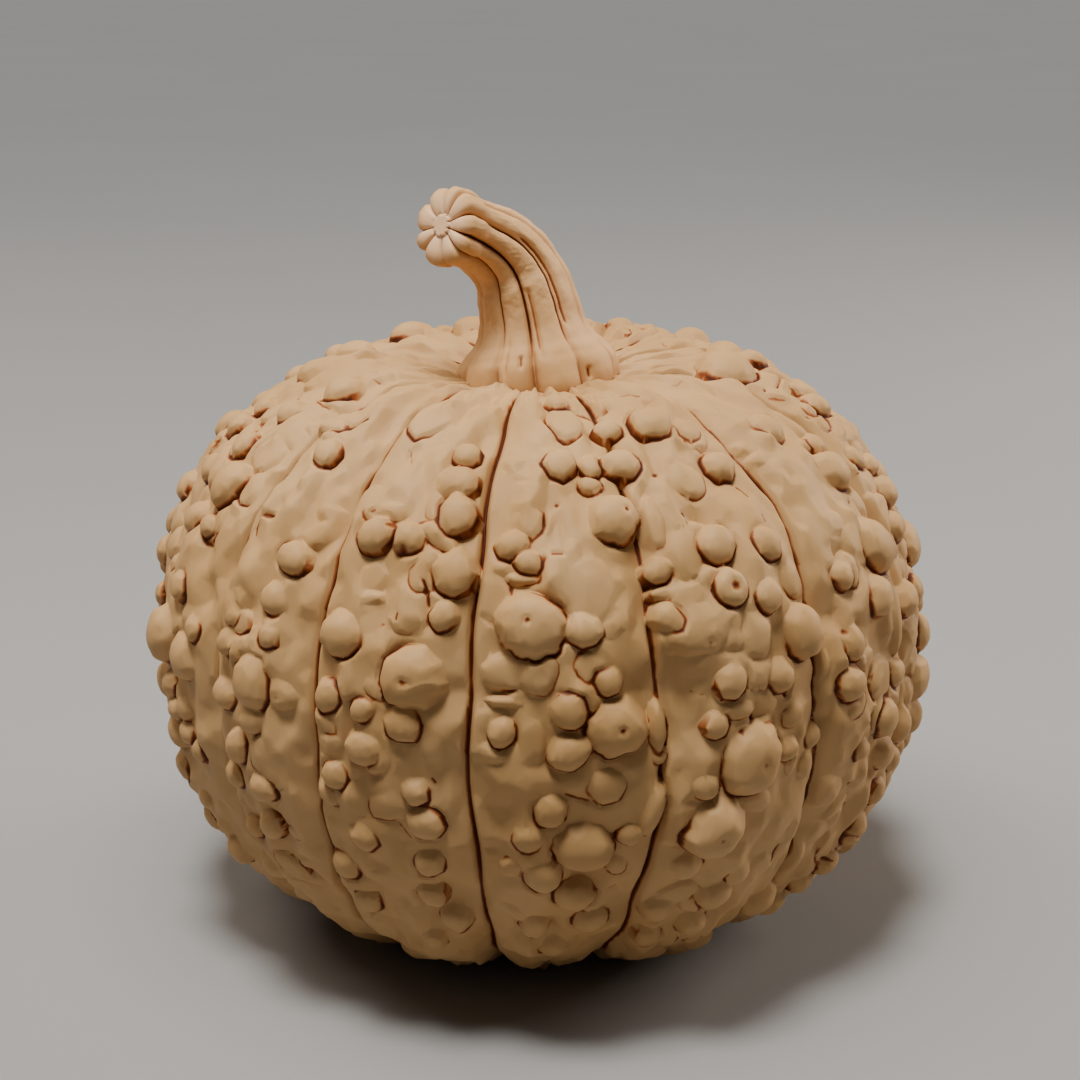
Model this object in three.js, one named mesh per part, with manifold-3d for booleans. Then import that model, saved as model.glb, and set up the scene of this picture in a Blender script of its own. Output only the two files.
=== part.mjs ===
// A warty pumpkin: a ribbed fruit with its warts grown on, and the ridged, bent stem.
// Millimetres, +Z up. The origin is the middle of the flat spot that the fruit rests on.
// The front of the fruit looks along -Y. An azimuth is counted from the front towards +X,
// and a polar angle from the top down, both in degrees.

import * as THREE from "three";
import { mergeVertices } from "three/addons/utils/BufferGeometryUtils.js";
import Module from "manifold-3d";

const wasm = await Module();
wasm.setup();

// Body of the fruit
const BODY_RADIUS = 117;
const BODY_HALF_HEIGHT = 0.806 * BODY_RADIUS;
const SIDE_FULLNESS = 0.79; // below 1 makes the sides fuller than an ellipse
const CROWN_FULLNESS = 0.91;
const STEM_HOLLOW_DEPTH = 0.15 * BODY_RADIUS;
const STEM_HOLLOW_WIDTH = 0.35 * BODY_RADIUS;
const FLAT_SPOT_DROP = 0.755 * BODY_RADIUS; // from the middle of the body down to the flat spot
const BODY_RINGS = [7, 14, 22, 31, 41, 51, 61, 71, 81, 91, 101, 111, 121, 131, 141, 151, 159];

// Grooves between the ribs: those of the front as they stand, the others shared out evenly
const FRONT_GROOVES = [-52, -32, -9, 16, 42, 68];
const BACK_RIBS = 10;
const GROOVE_DEPTH = 5.5;
const RIB_SWELL = 1.6;
// Across a rib, from the groove on its left: how far over, and how high on its swell
const RIB_SECTION = [[0, -1], [0.07, -0.1], [0.3, 0.8], [0.66, 0.95], [0.94, 0.1]];

// Warts of the front, read off the photo: azimuth, polar angle, radius in mm
const FRONT_WARTS = [
  // rib right of the middle, between the grooves at -9 and 16 degrees
  [5, 24, 3.6], [4, 40, 5], [10, 40, 4], [12, 50.5, 7.2], [-4, 55, 4.2], [-1.5, 58, 3.4],
  [-1, 68, 8.9], [6, 69, 4.6], [9, 77, 3.8], [10, 84, 7.8], [3.9, 81, 4.8],
  [-4.7, 84.5, 4], [3.8, 87, 5.3], [1.5, 95, 4.8], [-1.4, 99.5, 3.8], [6, 102, 7.8],
  [12, 100, 3.5], [0.6, 107, 5.1], [5, 112, 5.7], [7.7, 119, 5], [-0.7, 120.5, 4.6], [2.4, 128, 4.2],
  // over the groove at 16 degrees
  [15.5, 32, 4.2], [15.5, 40, 5.3], [17, 60, 4.4], [17, 68, 4.2],
  // rib between the grooves at 16 and 42 degrees
  [25, 32.5, 6.2], [35.3, 42.7, 5.1], [27.5, 57, 5.6], [36, 58.5, 4.8], [27.5, 64.5, 5.2],
  [33.5, 67, 4.6], [39, 74, 7.4], [26, 79, 4.7], [34, 80, 4.5], [23.7, 85.5, 3.8], [29, 91, 10],
  [22.3, 93.5, 3.8], [35.5, 91, 3.5], [24, 101, 9.2], [21, 108, 4.8], [27, 116.5, 5.2], [18, 118.5, 5],
  [18, 127, 4.5], [25, 124, 4.8], [33, 138, 5], [40, 126, 6.6],
  // rib between the grooves at 42 and 68 degrees
  [53, 38.5, 5.4], [63, 45, 4], [60.5, 50.5, 6.4], [60.5, 65.5, 8], [49.5, 67.5, 4], [57, 73.5, 5.7],
  [49, 79, 5], [48, 85, 5.5], [62, 88, 4.6], [58, 93, 6], [60, 100, 5], [51.5, 96, 3.5],
  [61, 108, 4.6], [58, 115, 5.6], [54, 121, 5], [50, 125, 4.5], [46, 130, 5.4],
  // rib between the grooves at 68 and 92 degrees
  [92, 40, 5.4], [90, 49, 5], [83, 58, 4.6], [73.5, 66, 4.8], [70, 78.5, 6], [76, 79, 4.6], [77, 93.5, 8],
  [69, 99, 5.2], [66, 104, 4.2],
  // rib between the grooves at -32 and -9 degrees
  [-14, 38, 4.3], [-14, 44, 5.5], [-13, 50, 5.6], [-20, 55, 4.5], [-25.5, 55, 5.2],
  [-12, 60, 6], [-13, 67, 4], [-28, 72, 6.4], [-17, 77, 8.8], [-17.7, 84.3, 5], [-23.5, 83, 3.6],
  [-29, 82, 4.4], [-23.5, 88.5, 5.2], [-28, 93, 4.2], [-16.2, 93.5, 3.9], [-15, 98.5, 5.2], [-24, 102.5, 4.2],
  [-15, 106, 4.5], [-28.5, 110, 4.4], [-15.4, 113.5, 4.6], [-26.5, 118, 4.6], [-12.6, 120, 4.7], [-17, 126, 4.2],
  // rib between the grooves at -52 and -32 degrees
  [-43, 42, 4.8], [-39, 61.5, 5.3], [-40.5, 69, 4.6], [-39.5, 75, 3.4], [-42, 83, 7.3],
  [-42, 88.5, 4.5], [-49, 87, 4.8], [-48.5, 78.5, 4], [-46, 93.5, 5], [-48.5, 99.5, 4.4], [-40.8, 98.5, 4.9],
  [-41.5, 106.5, 4.8], [-47.5, 110, 4], [-48, 120, 5],
  // ribs left of the groove at -52 degrees
  [-62, 28, 6.2], [-68, 47, 4.6], [-75, 54, 5], [-62, 62, 4], [-75, 70, 6.4], [-64, 74, 4.5],
  [-58, 79.5, 4], [-61, 85, 6.8], [-72, 92, 5.4], [-62, 93, 4], [-67, 99, 5.4], [-68, 106, 4.4],
  [-66, 117, 4.6], [-88, 63, 5.6], [-88, 76, 5.4], [-85, 83, 4.2], [-80, 89, 4.2],
  [-108, 26, 7], [-104, 37, 5], [-97.5, 43.5, 4.2], [-92.5, 50, 5.6],
];

// Warts of the other ribs, strewn by a rule
const STREWN_WARTS = 150;
const STREWN_SEED = 20261;
const FIRST_STREWN_RIB = 5; // counted from the rib right of the first front groove
const STREWN_TOP = 24;
const STREWN_BOTTOM = 133;
const RIB_CENTRE = 0.44; // warts keep off the smooth strip left of the next groove
const RIB_SPREAD = 0.36;
const SMALL_WART = 3.8;
const LARGE_WART = 9.6;
const CHAIN_SHARE = 0.5; // share of the warts that grow against an earlier one
const WART_CROWDING = 0.84; // how much of two radii must stay between two centres

// One wart
const WART_HEIGHT = 0.72; // of its radius
const WART_ROOT = 7; // mm below the skin, deeper than a groove
const BIG_WART = 6;
const MIDDLE_WART = 4.6;
const BIG_SIDES = 8;
const MIDDLE_SIDES = 6;
const SMALL_SIDES = 5;
// From the top down: spread as a share of the radius, level as a share of the height
const BIG_LEVELS = [[0.55, 0.94], [0.97, 0.4]];
const SMALL_LEVELS = [[0.9, 0.5]];
const FACET_TOLERANCE = 0.25; // mm that joining the smallest facets may shift the skin

// Stem
const STEM_FOOT_LEVEL = 0.62 * BODY_RADIUS; // heights over the middle of the body
const STEM_FOOT = [1, 0];
const STEM_RISE = [-3.5, 0, 106.3];
const STEM_BEND = [-2.1, 14.1, 118.5];
const STEM_END = [-26.9, -11.7, 128.4];
const STEM_RIDGES = 8;
const RIDGE_STEPS = 5;
// Along the stem: share of its length, radius, depth of the grooves between its ridges
const STEM_SECTIONS = [
  [0, 21, 2], [0.09, 22, 2.6], [0.14, 23.5, 3], [0.18, 21.9, 3.2], [0.23, 18.3, 2.8], [0.3, 16.2, 2.4],
  [0.38, 15.5, 2.2], [0.47, 14.8, 2.2], [0.56, 13.9, 2.2], [0.65, 13.2, 2.2], [0.74, 12.5, 2.2],
  [0.83, 11.5, 2.2], [0.91, 10.8, 2.4], [0.97, 12, 3], [1, 11.8, 3],
];
const CUT_DISC_RADIUS = 3;
const CUT_DISH = 0.8;
const STEM_GAP = 0.35;

const DEGREE = Math.PI / 180;

function radians(degrees) {
  return degrees * DEGREE;
}

// Distance from the axis and height over the middle of the body
function bodyProfile(polar) {
  const sine = Math.sin(radians(polar));
  const cosine = Math.cos(radians(polar));
  const radius = BODY_RADIUS * Math.pow(Math.abs(sine), SIDE_FULLNESS);
  let height = BODY_HALF_HEIGHT * Math.sign(cosine) * Math.pow(Math.abs(cosine), CROWN_FULLNESS);
  if (cosine > 0) {
    height -= STEM_HOLLOW_DEPTH * Math.exp(-((radius / STEM_HOLLOW_WIDTH) ** 2));
  }
  return { radius, height };
}

// The grooves round the fruit, from the front left one on, with the first one again at the end
function grooveAzimuths() {
  const grooves = [...FRONT_GROOVES];
  const last = FRONT_GROOVES.at(-1);
  const turn = FRONT_GROOVES[0] + 360;
  for (let rib = 1; rib <= BACK_RIBS; rib++) {
    grooves.push(last + ((turn - last) * rib) / BACK_RIBS);
  }
  return grooves;
}

// The columns of the body's grid: azimuth and how far the skin stands over the plain body
function ribColumns() {
  const grooves = grooveAzimuths();
  const columns = [];
  for (let rib = 0; rib + 1 < grooves.length; rib++) {
    const width = grooves[rib + 1] - grooves[rib];
    for (const [over, height] of RIB_SECTION) {
      const swell = height < 0 ? height * GROOVE_DEPTH : height * RIB_SWELL;
      columns.push({ azimuth: grooves[rib] + over * width, swell });
    }
  }
  return columns;
}

// A point of the skin, with the body's middle FLAT_SPOT_DROP over the origin
function skinPoint(azimuth, polar, swell) {
  const { radius, height } = bodyProfile(polar);
  const fade = Math.min(1, (radius / BODY_RADIUS) * 1.6); // ribs run out towards both ends
  const outward = swell * fade;
  const tilt = radians(polar);
  const reach = radius + outward * Math.sin(tilt);
  return new THREE.Vector3(
    reach * Math.sin(radians(azimuth)),
    -reach * Math.cos(radians(azimuth)),
    FLAT_SPOT_DROP + height + outward * Math.cos(tilt),
  );
}

// A closed solid from rings of points, each ring the same count, between two end points
function ringSolid(rings, topPoint, bottomPoint) {
  const around = rings[0].length;
  const points = [topPoint, ...rings.flat(), bottomPoint];
  const faces = [];
  const at = (ring, step) => 1 + ring * around + (step % around);
  for (let step = 0; step < around; step++) {
    faces.push(0, at(0, step), at(0, step + 1));
    for (let ring = 0; ring + 1 < rings.length; ring++) {
      faces.push(at(ring, step), at(ring + 1, step), at(ring + 1, step + 1));
      faces.push(at(ring, step), at(ring + 1, step + 1), at(ring, step + 1));
    }
    faces.push(points.length - 1, at(rings.length - 1, step + 1), at(rings.length - 1, step));
  }
  const geometry = new THREE.BufferGeometry().setFromPoints(points);
  geometry.setIndex(faces);
  return geometry;
}

function manifoldFrom(geometry) {
  const bare = new THREE.BufferGeometry();
  bare.setAttribute("position", geometry.getAttribute("position"));
  bare.setIndex(geometry.getIndex());
  const merged = mergeVertices(bare, 1e-4);
  const vertProperties = new Float32Array(merged.getAttribute("position").array);
  const triVerts = new Uint32Array(merged.getIndex().array);
  return new wasm.Manifold(new wasm.Mesh({ numProp: 3, vertProperties, triVerts }));
}

function geometryFrom(manifold) {
  const mesh = manifold.getMesh();
  const geometry = new THREE.BufferGeometry();
  geometry.setAttribute("position", new THREE.BufferAttribute(mesh.vertProperties, mesh.numProp));
  geometry.setIndex(new THREE.BufferAttribute(mesh.triVerts, 1));
  geometry.computeVertexNormals();
  return geometry;
}

function bodyGeometry() {
  const columns = ribColumns();
  const ringAt = (polar) => columns.map(({ azimuth, swell }) => skinPoint(azimuth, polar, swell));
  const rings = BODY_RINGS.map(ringAt);
  const top = skinPoint(0, 0, 0);
  // The last ring is drawn down to the flat spot, which the bottom point closes level
  const lowest = rings.at(-1);
  for (const point of lowest) {
    point.z = 0;
  }
  return ringSolid(rings, top, new THREE.Vector3(0, 0, 0));
}

// Numbers from 0 to 1, the same every time
function seededNumbers(seed) {
  let state = seed;
  return () => {
    state = (state * 16807) % 2147483647;
    return state / 2147483647;
  };
}

// Distance between two places on the fruit, in mm
function spacing(a, b) {
  return skinPoint(a[0], a[1], 0).distanceTo(skinPoint(b[0], b[1], 0));
}

// A place on one of the strewn ribs, near the middle of its width
function freePlace(next, grooves) {
  const ribs = grooves.length - 1 - FIRST_STREWN_RIB;
  const rib = FIRST_STREWN_RIB + Math.floor(next() * ribs);
  const over = RIB_CENTRE + RIB_SPREAD * (next() + next() - 1);
  const azimuth = grooves[rib] + over * (grooves[rib + 1] - grooves[rib]);
  return [azimuth, STREWN_TOP + (STREWN_BOTTOM - STREWN_TOP) * next()];
}

// A place that touches an earlier wart, mostly above or below it
function chainPlace(next, [azimuth, polar, radius], newRadius) {
  const reach = 0.92 * (radius + newRadius);
  const lean = 0.9 * (next() + next() - 1);
  const down = next() < 0.5 ? -1 : 1;
  const perDegree = radians(1) * BODY_RADIUS;
  const ringShare = bodyProfile(polar).radius / BODY_RADIUS;
  return [
    azimuth + (reach * Math.sin(lean)) / (perDegree * ringShare),
    polar + (down * reach * Math.cos(lean)) / perDegree,
  ];
}

function allWarts() {
  const next = seededNumbers(STREWN_SEED);
  const grooves = grooveAzimuths();
  const warts = [...FRONT_WARTS];
  const listed = FRONT_WARTS.length;
  for (let attempt = 0; attempt < 9000 && warts.length < listed + STREWN_WARTS; attempt++) {
    const radius = SMALL_WART + (LARGE_WART - SMALL_WART) * next() ** 3.2;
    const strewn = warts.length - listed;
    const place = strewn > 0 && next() < CHAIN_SHARE
      ? chainPlace(next, warts[listed + Math.floor(next() * strewn)], radius)
      : freePlace(next, grooves);
    const wart = [...place, radius];
    const inReach = place[1] > STREWN_TOP && place[1] < STREWN_BOTTOM;
    const clearOfGrooves = grooves.every((groove) => spacing([groove, place[1]], wart) > 0.7 * radius);
    const clearOfWarts = warts.every((other) => spacing(other, wart) > WART_CROWDING * (other[2] + radius));
    if (inReach && clearOfGrooves && clearOfWarts) {
      warts.push(wart);
    }
  }
  return warts;
}

// A dome of few sides that stands on the skin, with its root sunk well in
function wartGeometry([azimuth, polar, radius]) {
  const sides = radius > BIG_WART ? BIG_SIDES : radius > MIDDLE_WART ? MIDDLE_SIDES : SMALL_SIDES;
  const levels = radius > BIG_WART ? BIG_LEVELS : SMALL_LEVELS;
  const height = radius * WART_HEIGHT;
  const ringAt = (spread, level) => {
    const points = [];
    for (let side = 0; side < sides; side++) {
      const angle = (side / sides) * 2 * Math.PI + azimuth;
      points.push(new THREE.Vector3(spread * radius * Math.cos(angle), spread * radius * Math.sin(angle), level));
    }
    return points;
  };
  const rings = levels.map(([spread, level]) => ringAt(spread, level * height));
  rings.push(ringAt(1, -WART_ROOT));
  const top = new THREE.Vector3(0, 0, height * 1.05);
  const bottom = new THREE.Vector3(0, 0, -WART_ROOT);
  const geometry = ringSolid(rings, top, bottom);
  const seat = skinPoint(azimuth, polar, 0.4);
  const ahead = skinPoint(azimuth, polar + 1, 0.4).sub(seat);
  const aside = skinPoint(azimuth + 1, polar, 0.4).sub(seat);
  const outward = ahead.cross(aside).normalize();
  geometry.applyQuaternion(new THREE.Quaternion().setFromUnitVectors(new THREE.Vector3(0, 0, 1), outward));
  geometry.translate(seat.x, seat.y, seat.z);
  return geometry;
}

function fruitManifold() {
  let fruit = manifoldFrom(bodyGeometry());
  for (const wart of allWarts()) {
    fruit = fruit.add(manifoldFrom(wartGeometry(wart)));
  }
  return fruit.asOriginal().simplify(FACET_TOLERANCE);
}

// Middle line of the stem, from inside the fruit to the cut end
function stemLine() {
  const point = (x, y, level) => new THREE.Vector3(x, y, FLAT_SPOT_DROP + level);
  return new THREE.CubicBezierCurve3(
    point(...STEM_FOOT, STEM_FOOT_LEVEL),
    point(...STEM_RISE),
    point(...STEM_BEND),
    point(...STEM_END),
  );
}

// One ring of the stem, with rounded ridges and sharp grooves between them
function stemRing(line, share, radius, groove) {
  const middle = line.getPoint(share);
  const along = line.getTangent(share);
  const turn = new THREE.Quaternion().setFromUnitVectors(new THREE.Vector3(0, 0, 1), along);
  const points = [];
  for (let step = 0; step < STEM_RIDGES * RIDGE_STEPS; step++) {
    const over = (step % RIDGE_STEPS) / RIDGE_STEPS;
    const angle = (step / (STEM_RIDGES * RIDGE_STEPS)) * 2 * Math.PI;
    const reach = radius - groove * (1 - Math.sqrt(Math.sin(Math.PI * over)));
    const point = new THREE.Vector3(reach * Math.cos(angle), reach * Math.sin(angle), 0);
    points.push(point.applyQuaternion(turn).add(middle));
  }
  return points;
}

function stemManifold(fruit) {
  const line = stemLine();
  const rings = STEM_SECTIONS.map(([share, radius, groove]) => stemRing(line, share, radius, groove));
  rings.reverse();
  // The cut end: lobes dished a little towards a small disc in the middle
  const along = line.getTangent(1);
  const end = line.getPoint(1);
  const dish = (ring, depth) => ring.map((point) => point.addScaledVector(along, -depth));
  rings.unshift(dish(stemRing(line, 1, 8.4, 2.4), -0.3));
  rings.unshift(dish(stemRing(line, 1, CUT_DISC_RADIUS + 0.6, 0), CUT_DISH));
  rings.unshift(dish(stemRing(line, 1, CUT_DISC_RADIUS, 0), 0));
  const top = end.clone().addScaledVector(along, 0.2);
  const bottom = line.getPoint(0);
  const stem = manifoldFrom(ringSolid(rings, top, bottom));
  return stem.subtract(fruit.translate([0, 0, STEM_GAP]));
}

function namedMesh(name, manifold, look) {
  const mesh = new THREE.Mesh(geometryFrom(manifold), new THREE.MeshStandardMaterial(look));
  mesh.name = name;
  return mesh;
}

const fruit = fruitManifold();
const stem = stemManifold(fruit);

const pumpkin = new THREE.Group();
pumpkin.name = "warty_pumpkin";
pumpkin.add(namedMesh("fruit", fruit, { color: 0xc8a77d, roughness: 0.62, metalness: 0 }));
pumpkin.add(namedMesh("stem", stem, { color: 0xc09468, roughness: 0.68, metalness: 0 }));

export default pumpkin;
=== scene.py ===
# The warty pumpkin: the rind with its ribs and warts, the ridged stem, and a plain studio.
# The scene is in metres. The rind and the stem are worked out in millimetres, as they were
# measured, and scaled when their meshes are made. The front of the fruit looks along -Y.

import math

import bpy
import numpy as np
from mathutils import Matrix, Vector


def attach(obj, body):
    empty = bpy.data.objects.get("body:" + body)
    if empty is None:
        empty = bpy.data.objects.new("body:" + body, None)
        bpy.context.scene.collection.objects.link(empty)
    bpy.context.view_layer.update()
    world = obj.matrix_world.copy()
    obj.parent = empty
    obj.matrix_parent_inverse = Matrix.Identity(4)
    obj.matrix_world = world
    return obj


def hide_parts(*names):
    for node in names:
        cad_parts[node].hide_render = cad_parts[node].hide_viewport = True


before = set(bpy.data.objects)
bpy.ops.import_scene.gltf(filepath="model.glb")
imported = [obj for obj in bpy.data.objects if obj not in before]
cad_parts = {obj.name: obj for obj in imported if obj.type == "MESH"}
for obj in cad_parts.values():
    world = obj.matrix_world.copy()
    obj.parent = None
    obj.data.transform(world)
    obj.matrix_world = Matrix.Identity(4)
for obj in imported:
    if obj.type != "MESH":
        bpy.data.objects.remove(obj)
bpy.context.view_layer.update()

MM = 0.001

# Body of the fruit, in millimetres
BODY_RADIUS = 117.0
BODY_HALF_HEIGHT = 0.806 * BODY_RADIUS
SIDE_FULLNESS = 0.79  # below 1 makes the sides fuller than an ellipse
CROWN_FULLNESS = 0.91
STEM_HOLLOW_DEPTH = 0.15 * BODY_RADIUS
STEM_HOLLOW_WIDTH = 0.35 * BODY_RADIUS
FLAT_SPOT_DROP = 0.755 * BODY_RADIUS  # from the middle of the body down to the flat spot
FLAT_SPOT_POLAR = 159.0  # degrees from the top, where the skin meets the flat spot

# Fineness of the rind's grid, and how many triangles stay when the spare ones are taken out
RIND_COLUMNS = 1536
RIND_ROWS = 620
RIND_TRIANGLES = 190000

# Grooves between the ribs, as azimuths in degrees: those of the front; the others are shared out evenly
FRONT_GROOVES = [-52.0, -32.0, -9.0, 16.0, 42.0, 68.0]
BACK_RIBS = 10
# How far a front groove bends off its azimuth, as pairs of polar angle and degrees, read off the photo
GROOVE_BENDS = {
    -32: [(60, -0.2), (90, 0.5), (110, 0.2)],
    -9: [(31, 1), (50, 0), (94, 0), (110, 0.5), (129, 1)],
    16: [
        (54, -0.8), (71, -0.2), (81, 0.2), (85, 1.8), (88, 1.5), (91, 0.8), (96, 1.2), (102, -0.2),
        (115, -1.5),
    ],
    42: [(40, 0.2), (52, 1), (61, 0.8), (70, 0.2), (84, 0), (93, 1.2), (99, 0.5), (116, -0.2)],
}
GROOVE_WANDER = 0.5  # degrees, of every groove
GROOVE_DEPTH = 1.9
GROOVE_WIDTH = 0.95
LIP_DEPTH = 1.9  # the rib left of a groove rounds down into it
LIP_WIDTH = 7.5
EDGE_DEPTH = 1.5  # the rib right of it rounds down more sharply
EDGE_WIDTH = 2.5
RIB_SWELL = 1.5
# How far the painted shade of a groove, dark in it and a warm tint beside it, reaches to its right and to
# its left, in mm
GROOVE_SHADE_REACH = (0.7, 1.05)
GROOVE_SHADE_TINT_REACH = (1.2, 2.4)
GROOVE_SHADE_TINT = (0.25, 0.42)
# How far to its right and to its left a groove is kept free of low lumps, in mm
GROOVE_FREE_REACH = (2, 5)
# Unevenness of the rind: size of the bumps in mm, how much longer than wide, height in mm
RIPPLES = [(14, 1.5, 1.0), (7, 1.5, 1.0), (3.4, 1.2, 0.38)]

# Warts of the front, read off the photo: azimuth, polar angle, radius in mm
FRONT_WARTS = [
    # rib right of the middle, between the grooves at -9 and 16 degrees
    [5, 24, 3.6], [4, 40, 5], [10, 40, 4], [12, 50.5, 7.2], [-4, 55, 4.2], [-1.5, 58, 3.4],
    [-1, 68, 8.9], [6, 69, 4.6], [9, 77, 3.8], [10, 84, 7.8], [3.9, 81, 4.8], [-4.7, 84.5, 4],
    [3.8, 87, 5.3], [1.5, 95, 4.8], [-1.4, 99.5, 3.8], [6, 102, 7.8], [12, 100, 3.5], [0.6, 107, 5.1],
    [5, 112, 5.7], [7.7, 119, 5], [-0.7, 120.5, 4.6], [2.4, 128, 4.2],
    # over the groove at 16 degrees
    [15.5, 32, 4.2], [15.5, 40, 5.3], [17.6, 60, 3.9], [17.8, 68, 3.9],
    # rib between the grooves at 16 and 42 degrees
    [25, 32.5, 6.2], [35.3, 42.7, 5.1], [27.5, 57, 5.6], [36, 58.5, 4.8], [27.5, 64.5, 5.2],
    [33.5, 67, 4.6], [39, 74, 7.4], [26, 79, 4.7], [34, 80, 4.5], [23.7, 85.5, 3.8], [29, 91, 10],
    [22.3, 93.5, 3.8], [35.5, 91, 3.5], [24, 101, 9.2], [21, 108, 4.8], [27, 116.5, 5.2],
    [18, 118.5, 5], [18, 127, 4.5], [25, 124, 4.8], [33, 138, 5], [40, 126, 6.6],
    # rib between the grooves at 42 and 68 degrees
    [53, 38.5, 5.4], [63, 45, 4], [60.5, 50.5, 6.4], [60.5, 65.5, 8], [49.5, 67.5, 4], [57, 73.5, 5.7],
    [49, 79, 5], [48, 85, 5.5], [62, 88, 4.6], [58, 93, 6], [60, 100, 5], [51.5, 96, 3.5],
    [61, 108, 4.6], [58, 115, 5.6], [54, 121, 5], [50, 125, 4.5], [46, 130, 5.4],
    # rib between the grooves at 68 and 92 degrees
    [92, 40, 5.4], [90, 49, 5], [83, 58, 4.6], [73.5, 66, 4.8], [70, 78.5, 6], [76, 79, 4.6],
    [77, 93.5, 8], [69, 99, 5.2], [66, 104, 4.2],
    # rib between the grooves at -32 and -9 degrees
    [-14, 38, 4.3], [-14, 44, 5.5], [-13, 50, 5.6], [-20, 55, 4.5], [-25.5, 55, 5.2], [-12, 60, 6],
    [-13, 67, 4], [-28, 72, 6.4], [-17, 77, 8.8], [-17.7, 84.3, 5], [-23.5, 83, 3.6], [-29, 82, 4.4],
    [-23.5, 88.5, 5.2], [-28, 93, 4.2], [-16.2, 93.5, 3.9], [-15, 98.5, 5.2], [-24, 102.5, 4.2],
    [-15, 106, 4.5], [-28.5, 110, 4.4], [-15.4, 113.5, 4.6], [-26.5, 118, 4.6], [-12.6, 120, 4.7],
    [-17, 126, 4.2],
    # rib between the grooves at -52 and -32 degrees
    [-43, 42, 4.8], [-39, 61.5, 5.3], [-40.5, 69, 4.6], [-39.5, 75, 3.4], [-42, 83, 7.3],
    [-42, 88.5, 4.5], [-49, 87, 4.8], [-48.5, 78.5, 4], [-46, 93.5, 5], [-48.5, 99.5, 4.4],
    [-40.8, 98.5, 4.9], [-41.5, 106.5, 4.8], [-47.5, 110, 4], [-48, 120, 5],
    # ribs left of the groove at -52 degrees
    [-62, 28, 6.2], [-68, 47, 4.6], [-75, 54, 5], [-62, 62, 4], [-75, 70, 6.4], [-64, 74, 4.5],
    [-58, 79.5, 4], [-61, 85, 6.8], [-72, 92, 5.4], [-62, 93, 4], [-67, 99, 5.4], [-68, 106, 4.4],
    [-66, 117, 4.6], [-88, 63, 5.6], [-88, 76, 5.4], [-85, 83, 4.2], [-80, 89, 4.2], [-108, 26, 7],
    [-104, 37, 5], [-97.5, 43.5, 4.2], [-92.5, 50, 5.6],
]
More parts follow.
